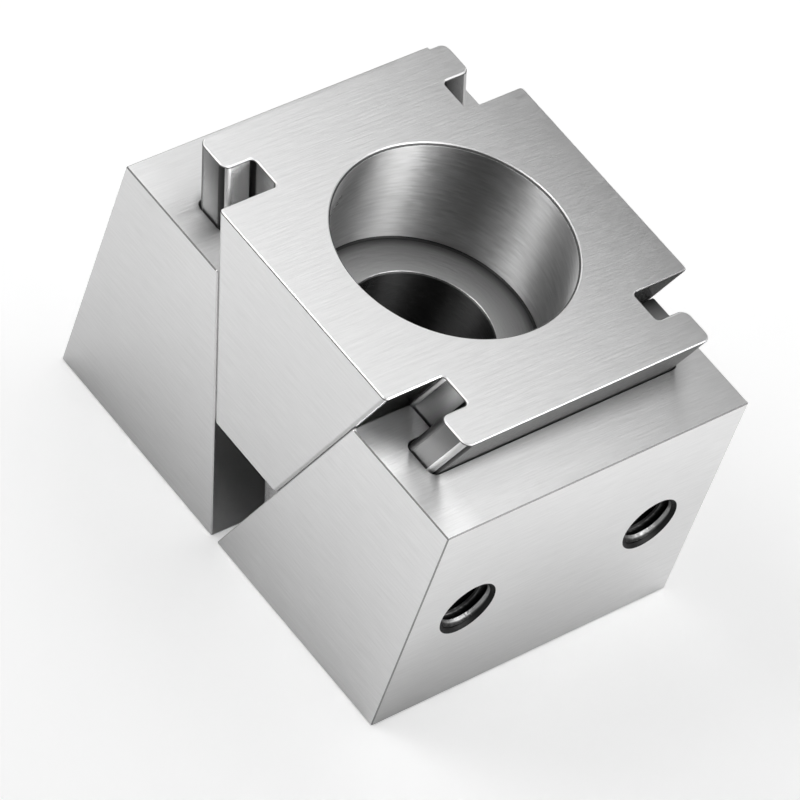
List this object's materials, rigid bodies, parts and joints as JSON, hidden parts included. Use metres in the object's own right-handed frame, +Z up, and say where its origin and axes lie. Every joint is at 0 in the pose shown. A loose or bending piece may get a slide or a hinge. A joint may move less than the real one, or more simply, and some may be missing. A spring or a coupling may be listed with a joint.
{
  "type": "fixture clamp block",
  "caption": "Low block clamp for machine fixtures: a wedge pulled down by a screw pushes two jaws apart on T-rails.",
  "frame": {"origin": "centre of the base, midway between the two jaws, at the level of their undersides", "axes": "+X along the clamping direction towards the right jaw, +Y along the jaws' width, +Z up along the clamping screw"},
  "size_m": [0.0428, 0.032, 0.0293],
  "materials": {
    "ground_steel": "ground and lightly satin, with fine straight grinding lines"
  },
  "bodies": {
    "left_jaw": {"left_jaw": "ground_steel"},
    "wedge": {"wedge": "ground_steel"},
    "right_jaw": {"right_jaw": "ground_steel"}
  },
  "joints": [
    {"name": "wedge_slide", "type": "slide", "parent": "left_jaw", "child": "wedge", "axis": [0.342, 0, -0.9397], "range_m": [-0.0009, 0.01]},
    {"name": "right_jaw_slide", "type": "slide", "parent": "wedge", "child": "right_jaw", "axis": [0.342, 0, 0.9397], "range_m": [-0.0009, 0.01]}
  ],
  "couplings": [
    {"joint": "right_jaw_slide", "follows": "wedge_slide", "ratio": 1}
  ]
}
